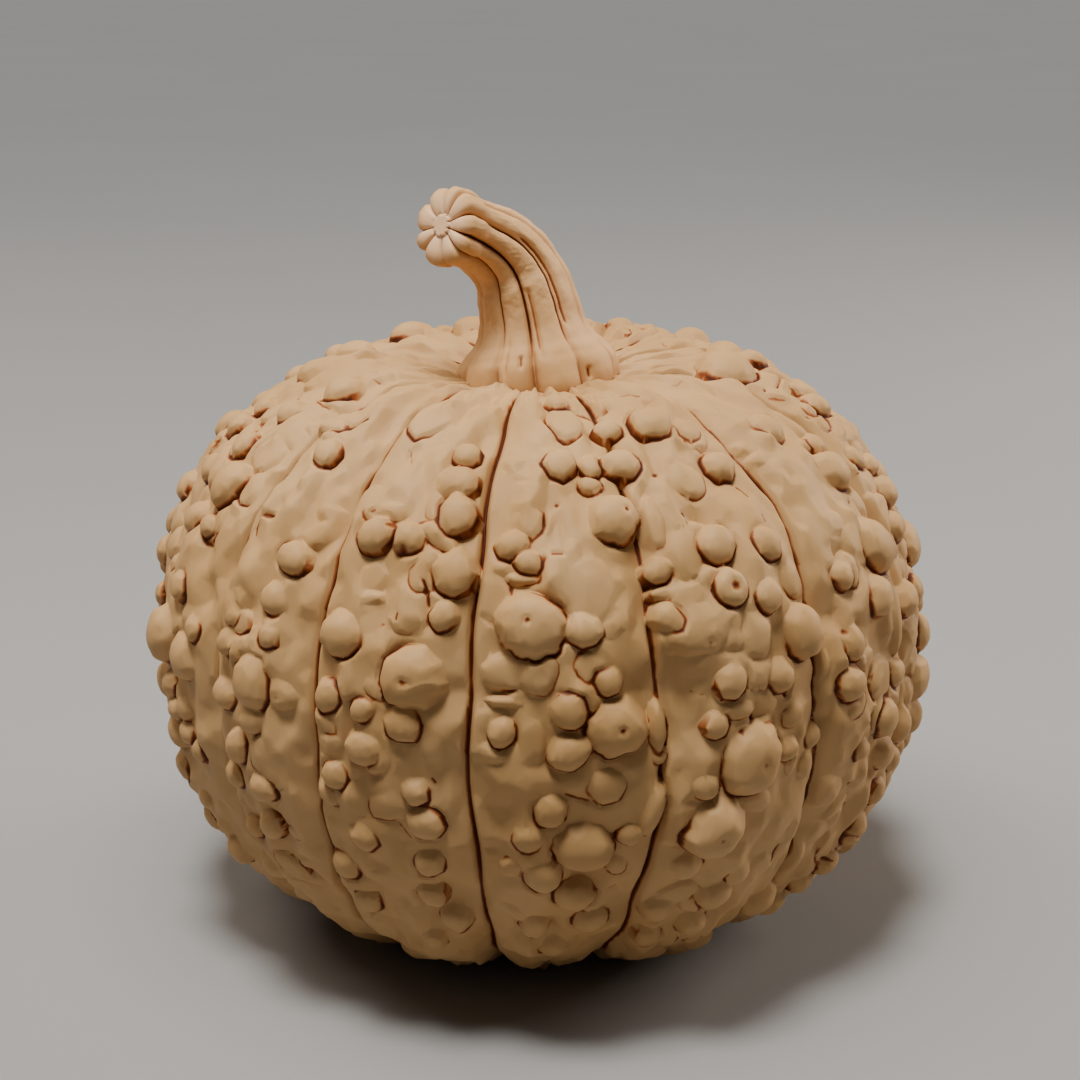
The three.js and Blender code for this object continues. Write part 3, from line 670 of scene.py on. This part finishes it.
    def add_crack(self, azimuth, polar, length, turn, bow, width, depth):
        """A short crack with painted shade along it; turn 0 runs east, 90 runs down."""
        area, east, down = self.window(azimuth, polar, 0.6 * length + 3)
        angle = radians(turn)
        along = (east * math.cos(angle) + down * math.sin(angle)) / (0.5 * length)
        across = down * math.cos(angle) - east * math.sin(angle) + bow * 0.5 * length * (along**2 - 0.4)
        line = bell(across, width) * np.clip(1.4 * (1 - along**4), 0, 1) * (np.abs(along) < 1)
        # One side of the crack stands a little higher than the other
        step = np.exp(-np.clip(across, 0, 20) / 2.5) * (across > 0) * np.clip(1 - along**2, 0, 1)
        self.height[area] += 0.45 * depth * step - depth * line
        # Painted shade along the crack
        self.crease[area] = np.maximum(self.crease[area], line * min(1, depth))

    def strewn_place(self, rng):
        """A chance place on a rib, less often on the front."""
        grooves = groove_azimuths()
        ribs = len(grooves) - 1
        while True:
            rib = rng.integers(ribs)
            over = rng.uniform(0.08, 0.82)
            polar = math.degrees(math.acos(rng.uniform(math.cos(radians(150)), math.cos(radians(20)))))
            if FIRST_STREWN_RIB <= rib < ribs - 2 or rng.random() < FRONT_SHARE:
                return grooves[rib] + over * (grooves[rib + 1] - grooves[rib]), polar

    def add_small_things(self, rng, warts):
        """Strews blisters, small warts, cracks and pits between the warts."""
        places = np.array([skin_place(azimuth, polar) for azimuth, polar, _ in warts])
        radii = np.array([wart[2] for wart in warts])

        def room(azimuth, polar):
            """Free distance to the nearest wart's foot, in mm."""
            return (np.linalg.norm(places - skin_place(azimuth, polar), axis=1) - radii).min()

        for _ in range(BLISTERS):
            azimuth, polar = self.strewn_place(rng)
            radius = rng.uniform(3, 6.5)
            if room(azimuth, polar) > -0.3 * radius:
                outline = rng.random() ** 1.6
                rise, wide = rng.uniform(0.14, 0.32), rng.uniform(0.75, 1.3)
                self.add_dome(azimuth, polar, radius, rng, rise, outline, wide)
        for _ in range(LUMPS):
            azimuth, polar = self.strewn_place(rng)
            radius = rng.uniform(2.2, 4.6)
            if room(azimuth, polar) > -0.2 * radius:
                outline = rng.random() ** 1.5
                rise, wide, turn = rng.uniform(0.2, 0.5), rng.uniform(1.0, 1.6), rng.uniform(-60, 60)
                self.add_dome(azimuth, polar, radius, rng, rise, outline, wide, turn)
        for _ in range(CRACKS):
            azimuth, polar = self.strewn_place(rng)
            if room(azimuth, polar) > 1.5:
                self.add_crack(
                    azimuth, polar, rng.uniform(3, 9), rng.uniform(-40, 130), rng.uniform(-0.5, 0.5),
                    rng.uniform(0.45, 0.75), rng.uniform(0.35, 0.95),
                )
        for _ in range(SMALL_WARTS):
            azimuth, polar = self.strewn_place(rng)
            radius = rng.uniform(1.8, 3.4)
            if room(azimuth, polar) > 0.5 * radius:
                self.add_dome(azimuth, polar, radius, rng, rng.uniform(0.4, 0.7), rng.uniform(0.3, 1))
        for _ in range(PITS):
            azimuth, polar = self.strewn_place(rng)
            self.add_pit(azimuth, polar, rng.uniform(0.6, 1.1), rng.uniform(0.4, 1.0))

    def smooth(self):
        for axis in (0, 1):
            before = np.roll(self.height, 1, axis)
            after = np.roll(self.height, -1, axis)
            if axis == 0:
                before[0], after[-1] = self.height[0], self.height[-1]
            self.height = 0.25 * before + 0.5 * self.height + 0.25 * after

    def mesh(self, name):
        """The closed mesh, in metres, with the painted shade of its creases as an attribute."""
        slope_radius = np.gradient(self.radius, self.length)
        slope_level = np.gradient(self.level, self.length)
        out_radius = -slope_level
        out_level = slope_radius
        size = np.hypot(out_radius, out_level)
        out_radius = (out_radius / size)[:, None]
        out_level = (out_level / size)[:, None]
        reach = self.radius[:, None] + out_radius * self.height
        level = FLAT_SPOT_DROP + self.level[:, None] + out_level * self.height
        level = np.maximum(level, 0)
        level[-1] = 0
        angle = np.radians(self.azimuth)[None, :]
        points = np.stack([reach * np.sin(angle), -reach * np.cos(angle), level], axis=-1)[1:]
        top = [0, 0, level[0].mean()]
        flat = points[-1:] * [0.5, 0.5, 0]
        points = np.concatenate([points, flat])
        rows = len(points)
        points = np.concatenate([[top], points.reshape(-1, 3), [[0, 0, 0]]]) * MM
        crease = np.concatenate([[0], self.crease[1:].ravel(), np.zeros(RIND_COLUMNS + 1)])
        return grid_mesh(name, points, rows, RIND_COLUMNS, {"crease": crease})


def grid_mesh(name, points, rows, columns, attributes):
    """A closed mesh: a first point, rings of points from the top down, and a last point."""
    ring = np.arange(columns)
    following = (ring + 1) % columns
    start = 1 + np.arange(rows - 1)[:, None] * columns
    quads = np.stack(
        [start + ring, start + columns + ring, start + columns + following, start + following], axis=-1
    ).reshape(-1, 4)
    last = 1 + (rows - 1) * columns
    top = np.stack([np.zeros(columns, int), 1 + ring, 1 + following], axis=-1)
    bottom = np.stack([np.full(columns, len(points) - 1), last + following, last + ring], axis=-1)
    corners = np.concatenate([top.ravel(), quads.ravel(), bottom.ravel()])
    counts = np.concatenate([np.full(columns, 3), np.full(len(quads), 4), np.full(columns, 3)])
    mesh = bpy.data.meshes.new(name)
    mesh.vertices.add(len(points))
    mesh.vertices.foreach_set("co", np.asarray(points, dtype=np.float32).ravel())
    mesh.loops.add(len(corners))
    mesh.loops.foreach_set("vertex_index", corners.astype(np.int32))
    mesh.polygons.add(len(counts))
    starts = np.concatenate([[0], np.cumsum(counts)[:-1]])
    mesh.polygons.foreach_set("loop_start", starts.astype(np.int32))
    mesh.polygons.foreach_set("use_smooth", np.ones(len(counts), dtype=bool))
    for label, values in attributes.items():
        attribute = mesh.attributes.new(label, "FLOAT", "POINT")
        attribute.data.foreach_set("value", values.astype(np.float32))
    mesh.update(calc_edges=True)
    mesh.validate()
    return mesh


def thinned(obj, triangles):
    """Takes out the triangles that the shape can spare."""
    have = sum(len(face.vertices) - 2 for face in obj.data.polygons)
    if have > triangles:
        modifier = obj.modifiers.new("thin", "DECIMATE")
        modifier.ratio = triangles / have
        settle(obj)


def settle(obj):
    """Turns an object with its modifiers into a plain mesh."""
    bpy.context.view_layer.update()
    evaluated = obj.evaluated_get(bpy.context.evaluated_depsgraph_get())
    mesh = bpy.data.meshes.new_from_object(evaluated)
    obj.modifiers.clear()
    obj.data = mesh


def show_facets(mesh):
    """Lets the large faces set the shading, so that the facets show between their rounded edges."""
    count = len(mesh.vertices)
    places = np.empty(count * 3)
    mesh.vertices.foreach_get("co", places)
    places = places.reshape(-1, 3)
    triangles = np.empty(len(mesh.loop_triangles) * 3, dtype=np.int32)
    mesh.loop_triangles.foreach_get("vertices", triangles)
    triangles = triangles.reshape(-1, 3)
    first, second, third = (places[triangles[:, corner]] for corner in range(3))
    crossed = np.cross(second - first, third - first)
    crossed *= np.linalg.norm(crossed, axis=1)[:, None] ** 0.6
    normals = np.zeros((count, 3))
    for axis in range(3):
        for corner in range(3):
            normals[:, axis] += np.bincount(triangles[:, corner], crossed[:, axis], count)
    normals /= np.maximum(np.linalg.norm(normals, axis=1), 1e-30)[:, None]
    mesh.normals_split_custom_set_from_vertices(normals.tolist())


def add_object(name, mesh, material):
    obj = bpy.data.objects.new(name, mesh)
    bpy.context.scene.collection.objects.link(obj)
    obj.data.materials.clear()
    obj.data.materials.append(material)
    return obj


# Materials

def new_material(name):
    material = bpy.data.materials.new(name)
    material.use_nodes = True
    shader = next(node for node in material.node_tree.nodes if node.type == "BSDF_PRINCIPLED")
    return material, Nodes(material.node_tree), shader


def clay_material(name, light, warm, shade_edge, dark, cut):
    """Matte skin with painted shade in its creases, reddish brown at their edges and dark brown in them,
    and paler where it is cut.
    """
    material, nodes, shader = new_material(name)
    place = nodes.add("ShaderNodeTexCoord", output=3)
    # Ambient occlusion, near and wide, paints shade into the colour where the surface is hidden
    hidden = nodes.add("ShaderNodeAmbientOcclusion", {"samples": 8}, {"Distance": 1.4 * MM}, output=1)
    wide = nodes.add("ShaderNodeAmbientOcclusion", {"samples": 5}, {"Distance": 9 * MM}, output=1)
    mottle = nodes.noise(place, 28, 4)
    grain = nodes.noise(place, 420, 3)
    skin = nodes.mix(nodes.between(mottle, 0.35, 0.68), light, warm)
    on_cut = nodes.add("ShaderNodeAttribute", {"attribute_name": "cut"}, output=2)
    skin = nodes.mix(on_cut, skin, cut)
    drawn = nodes.add("ShaderNodeAttribute", {"attribute_name": "crease"}, output=2)
    # How deep the painted shade is, from the ambient occlusion and the mesh's painted crease shade: reddish
    # brown where it begins, dark brown where it is deep
    depth = nodes.math("MAXIMUM", (1 - hidden) * 0.42 + (1 - wide) * 0.24, drawn ** 1.5)
    depth = depth + (grain - 0.5) * 0.08
    edge = nodes.between(depth, 0.25, 0.55)
    core = nodes.between(depth, 0.45, 0.8)
    colour = nodes.mix(edge, skin, shade_edge)
    colour = nodes.mix(core, colour, dark)
    shader.inputs["Roughness"].default_value = 0.6
    shader.inputs["Specular IOR Level"].default_value = 0.2
    bump_height = nodes.noise(place, 260, 4, 0.55)
    bump_inputs = {"Strength": 0.12, "Distance": 0.4 * MM, "Height": bump_height}
    bump = nodes.add("ShaderNodeBump", None, bump_inputs)
    nodes.tree.links.new(colour.socket, shader.inputs["Base Color"])
    nodes.tree.links.new(bump.socket, shader.inputs["Normal"])
    return material


# Stem, as a tree of geometry nodes

def new_tree(name, sizes):
    """A geometry tree with named inputs, given as name: (kind of socket, value)."""
    tree = bpy.data.node_groups.new(name, "GeometryNodeTree")
    tree.interface.new_socket("Geometry", in_out="OUTPUT", socket_type="NodeSocketGeometry")
    identifiers = {}
    for label, (kind, _) in sizes.items():
        socket = tree.interface.new_socket(label, in_out="INPUT", socket_type=kind)
        identifiers[label] = socket.identifier
    nodes = Nodes(tree)
    group_input = tree.nodes.new("NodeGroupInput")
    values = {label: Value(nodes, group_input.outputs[label]) for label in sizes}
    return nodes, values, identifiers


def grown_from(tree, sizes, identifiers, name):
    """A plain mesh, made by a tree with the given sizes."""
    obj = bpy.data.objects.new(name, bpy.data.meshes.new(name))
    bpy.context.scene.collection.objects.link(obj)
    modifier = obj.modifiers.new("grow", "NODES")
    modifier.node_group = tree
    for label, (_, value) in sizes.items():
        modifier[identifiers[label]] = value
    settle(obj)
    return obj


def ridge_count(nodes, around, along):
    """Counts the uneven ridges round the stem: whole in each gap, and turned on their way up."""
    climb = nodes.math("MAXIMUM", (along - STEM_TWIST_FROM) / (1 - STEM_TWIST_FROM), 0.0)
    untwisted = nodes.math("FRACT", around - climb ** 2 * (STEM_TWIST / 360) + 1)
    before = STEM_GAPS[0] / (360 + STEM_GAPS[0] - STEM_GAPS[-1])  # share of the ridge across 0 degrees
    counts = [(0, -before)]
    counts += [(gap / 360, number) for number, gap in enumerate(STEM_GAPS)]
    counts += [(1, STEM_RIDGES - before)]
    steps = [(place, (number + 1) / (STEM_RIDGES + 1)) for place, number in counts]
    curve = nodes.add("ShaderNodeFloatCurve", {"steps": steps}, {"Value": untwisted})
    return curve * (STEM_RIDGES + 1) - 1


def fine_grooves(nodes, around, along, across, ridge, girth):
    """The finer groove that splits each ridge, and the cracks at the foot: 1 where one is deepest."""
    ridge_width = girth * (2 * math.pi / STEM_RIDGES)
    place = (across - nodes.choice(ridge, STEM_SPLITS)) * ridge_width
    fine = nodes.bell(place, STEM_SPLIT_WIDTH * MM) * nodes.choice(ridge, STEM_SPLIT_DEPTHS)
    start = nodes.choice(ridge, STEM_SPLIT_STARTS)
    end = nodes.choice(ridge, STEM_SPLIT_ENDS)
    fine = fine * nodes.between(along, start, start + 0.05) * (1 - nodes.between(along, end - 0.08, end))
    for degrees, low, high in STEM_CRACKS:
        aside = (around - degrees / 360) * (2 * math.pi) * girth
        inside = nodes.between(along, low, low + 0.015) * (1 - nodes.between(along, high - 0.015, high))
        crack = nodes.bell(aside, STEM_CRACK_WIDTH * MM) * inside
        fine = nodes.math("MAXIMUM", fine, crack)
    return fine


def cut_face_lift(nodes, face, petal, arch, slot):
    """How far the petals with their rounded rims and the small level disc stand out of the cut end."""
    rim = nodes.math("MAXIMUM", (face - 0.6) / 0.4, 0.0)
    plateau = nodes.math("SQRT", nodes.math("MAXIMUM", 1 - rim ** 2, 0.0))
    puff = nodes.math("POWER", nodes.math("MAXIMUM", nodes.math("SINE", petal * math.pi), 0.0), 0.4)
    disc = 1 - nodes.between(face, CUT_DISC - 0.05, CUT_DISC)
    return (plateau * 1.8 + puff * arch + disc * 0.9 - slot * puff * 0.5) * MM


def carried_along_line(nodes, along, section):
    """Turns a point of a section across the stem's bent middle line and sets it there."""
    line = [(x * MM, y * MM, (z + FLAT_SPOT_DROP) * MM) for x, y, z in STEM_LINE]
    first = [nodes.vector_mix(along, a, b) for a, b in zip(line[:-1], line[1:])]
    second = [nodes.vector_mix(along, a, b) for a, b in zip(first[:-1], first[1:])]
    middle = nodes.vector_mix(along, second[0], second[1])
    ahead = nodes.vector_math("NORMALIZE", nodes.vector_math("SUBTRACT", second[1], second[0]))
    turn = nodes.add("FunctionNodeAlignRotationToVector", {"axis": "Z"}, {"Vector": ahead})
    turned = nodes.add("FunctionNodeRotateVector", None, {"Vector": section, "Rotation": turn})
    return nodes.vector_math("ADD", middle, turned)


def finish_tree(nodes, grid, attributes, point, material):
    """Stores the attributes, moves the grid's points, closes its seams and hands it to the output."""
    for label, value in attributes.items():
        settings = {"data_type": "FLOAT", "domain": "POINT"}
        inputs = {"Geometry": grid, "Name": label, "Value": value}
        grid = nodes.add("GeometryNodeStoreNamedAttribute", settings, inputs)
    placed = nodes.add("GeometryNodeSetPosition", None, {"Geometry": grid, "Position": point})
    merged = nodes.add("GeometryNodeMergeByDistance", None, {"Geometry": placed, "Distance": 0.005 * MM})
    outward = nodes.add("GeometryNodeFlipFaces", None, {"Mesh": merged})
    smooth = nodes.add("GeometryNodeSetShadeSmooth", None, {"Geometry": outward, "Shade Smooth": True})
    real = nodes.add("GeometryNodeRealizeInstances", None, {"Geometry": smooth})
    coloured = nodes.add("GeometryNodeSetMaterial", None, {"Geometry": real, "Material": material})
    output = nodes.tree.nodes.new("NodeGroupOutput")
    nodes.tree.links.new(coloured.socket, output.inputs["Geometry"])


def stem_object(name, material):
    sizes = {
        "Widest Radius": ("NodeSocketFloat", STEM_WIDEST * MM),
        "Gap Depth": ("NodeSocketFloat", STEM_GAP_DEPTH * MM),
        "Toe Swell": ("NodeSocketFloat", STEM_TOE_SWELL * MM),
        "Rings": ("NodeSocketInt", STEM_RINGS),
        "Points Around": ("NodeSocketInt", STEM_POINTS_AROUND),
    }
    nodes, size, identifiers = new_tree("ridged_stem", sizes)
    grid_inputs = {
        "Size X": 1.0, "Size Y": 1.0, "Vertices X": size["Rings"], "Vertices Y": size["Points Around"],
    }
    grid = nodes.add("GeometryNodeMeshGrid", None, grid_inputs)
    split = nodes.add("ShaderNodeSeparateXYZ", None, {"Vector": nodes.add("GeometryNodeInputPosition")})
    ring = split + 0.5
    around = Value(nodes, split.socket.node.outputs["Y"]) + 0.5
    angle = around * (2 * math.pi)
    cosine = nodes.math("COSINE", angle)
    sine = nodes.math("SINE", angle)

    # Along the stem from 0 to 1, and then over the cut face from its rim, 1, to its middle, 0
    along = nodes.math("MINIMUM", ring / (1 - STEM_FACE_SHARE), 1.0)
    face = nodes.math("MINIMUM", (1 - ring) / STEM_FACE_SHARE, 1.0)
    face = nodes.math("MAXIMUM", face, 0.0)
    on_face = nodes.math("GREATER_THAN", ring, 1 - STEM_FACE_SHARE)
    petal = nodes.math("MAXIMUM", (face - CUT_DISC) / (1 - CUT_DISC), 0.0)

    # Ridges and the gaps between them
    count = ridge_count(nodes, around, along)
    across = nodes.math("FRACT", count + STEM_RIDGES)
    ridge = nodes.math("FLOORED_MODULO", nodes.math("FLOOR", count), float(STEM_RIDGES))
    nearest = nodes.math("ROUND", count)
    gap = nodes.math("FLOORED_MODULO", nearest, float(STEM_RIDGES))
    gap_share = nodes.choice(gap, STEM_GAP_DEPTHS)
    girth = nodes.curve(along, STEM_GIRTH) * size["Widest Radius"]
    from_gap = nodes.math("ABSOLUTE", count - nearest) * (girth * (2 * math.pi / STEM_RIDGES))
    arch = nodes.math("POWER", nodes.math("MAXIMUM", nodes.math("SINE", across * math.pi), 0.0), 0.55)
    slot = nodes.bell(from_gap, STEM_GAP_WIDTH * MM)
    depth = size["Gap Depth"] * nodes.curve(along, STEM_GAP_SHARES) * gap_share
    fine = fine_grooves(nodes, around, along, across, ridge, girth)
    groove = depth * ((1 - arch) * 0.75 + slot * 0.45) + size["Gap Depth"] * STEM_SPLIT_DEPTH * fine

    # Toes swell where the ridges meet the fruit
    toe_size = nodes.choice(ridge, STEM_TOES)
    toe_place = along - 0.145 + toe_size * 0.05
    swell = size["Toe Swell"] * toe_size * nodes.bell(toe_place, 0.055) * arch

    rough = nodes.noise(nodes.vector(cosine, sine, along * 3.2), 2.6, 3) - 0.5
    closed = nodes.math("MINIMUM", ring * 400.0, 1.0)
    reach = (girth - groove + swell + rough * STEM_ROUGHNESS * MM) * face * closed
    lift = cut_face_lift(nodes, face, petal, arch, slot) * on_face
    point = carried_along_line(nodes, along, nodes.vector(reach * cosine, reach * sine, lift))

    # Painted shade: dark lines lie in the gaps and round the disc
    drawn = nodes.bell(from_gap * face, STEM_GAP_DARK_WIDTH * MM) * gap_share
    drawn = drawn * (1 - on_face * 0.35) * nodes.between(petal, 0.3, 0.55) * nodes.between(along, 0.0, 0.3)
    # Painted shade in the finer grooves and the cracks as well
    crease = nodes.math("MAXIMUM", drawn * 0.9, fine * 0.75)
    attributes = {
        "crease": crease * nodes.between(ring, 0.0, 0.02),
        "cut": on_face * nodes.between(1 - face, 0, 0.4),
    }
    finish_tree(nodes, grid, attributes, point, material)
    return grown_from(nodes.tree, sizes, identifiers, name)


# The two pieces

def make_rind():
    rind = Rind()
    rng = np.random.default_rng(RIND_SEED)
    rind.add_ribs()
    rind.add_ripples(rng)
    warts = all_warts()
    rind.add_small_things(rng, warts)
    for azimuth, polar, radius, wide, turn, rise, outline in FRONT_LUMPS:
        rind.add_dome(azimuth, polar, radius, rng, rise, outline, wide, turn)
    for azimuth, polar, radius in warts:
        rind.add_dome(azimuth, polar, radius, rng, wide=rng.uniform(0.93, 1.07))
    for azimuth, polar, size, depth in FRONT_PITS:
        rind.add_pit(azimuth, polar, size, depth)
    for azimuth, polar, length, turn, depth in FRONT_CRACKS:
        bow = rng.uniform(-0.2, 0.2)
        rind.add_crack(azimuth, polar, length, turn, bow, FRONT_CRACK_WIDTH, depth)
    rind.smooth()
    obj = add_object("rind", rind.mesh("rind"), clay_material("rind", **RIND_COLOURS))
    thinned(obj, RIND_TRIANGLES)
    show_facets(obj.data)
    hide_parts("fruit")
    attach(obj, "root")


def make_stem():
    obj = stem_object("ridged_stem", clay_material("stem", **STEM_COLOURS))
    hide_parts("stem")
    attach(obj, "root")


# Studio

def make_floor():
    material, nodes, shader = new_material("studio_floor")
    place = nodes.add("ShaderNodeTexCoord", output=3)
    shade = nodes.mix(nodes.noise(place, 3, 2), (0.29, 0.287, 0.283, 1), (0.31, 0.307, 0.303, 1))
    nodes.tree.links.new(shade.socket, shader.inputs["Base Color"])
    shader.inputs["Roughness"].default_value = 0.9
    mesh = bpy.data.meshes.new("studio_floor")
    half = 40.0
    corners = [(-half, -half, 0), (half, -half, 0), (half, half, 0), (-half, half, 0)]
    mesh.from_pydata(corners, [], [(0, 1, 2, 3)])
    floor = add_object("studio_floor", mesh, material)


def add_light(name, place, size, watts, colour):
    data = bpy.data.lights.new(name, "AREA")
    data.shape = "DISK"
    data.size = size
    data.energy = watts
    data.color = colour
    light = bpy.data.objects.new(name, data)
    bpy.context.scene.collection.objects.link(light)
    light.location = place
    aim = Vector((0, 0, 0.09)) - Vector(place)
    light.rotation_euler = aim.to_track_quat("-Z", "Y").to_euler()


def add_sun(name, direction, strength, spread, colour):
    data = bpy.data.lights.new(name, "SUN")
    data.energy = strength
    data.angle = radians(spread)
    data.color = colour
    light = bpy.data.objects.new(name, data)
    bpy.context.scene.collection.objects.link(light)
    light.rotation_euler = (-Vector(direction)).to_track_quat("-Z", "Y").to_euler()


def make_studio():
    make_floor()
    add_sun("key", (-0.1, -0.16, 1.0), 3.0, 14, (1, 0.98, 0.95))
    add_light("overhead", (-0.05, -0.1, 0.62), 0.4, 2.1, (1, 0.98, 0.95))
    add_light("back_left", (-0.9, 0.3, 1.2), 0.8, 9, (1, 0.88, 0.76))
    add_light("back_right", (1.3, 0.6, 0.6), 0.8, 17, (1, 0.9, 0.8))
    world = bpy.data.worlds.new("studio")
    bpy.context.scene.world = world
    world.use_nodes = True
    background = world.node_tree.nodes["Background"]
    background.inputs["Color"].default_value = (0.95, 0.97, 1, 1)
    background.inputs["Strength"].default_value = 0.05


make_rind()
make_stem()
make_studio()
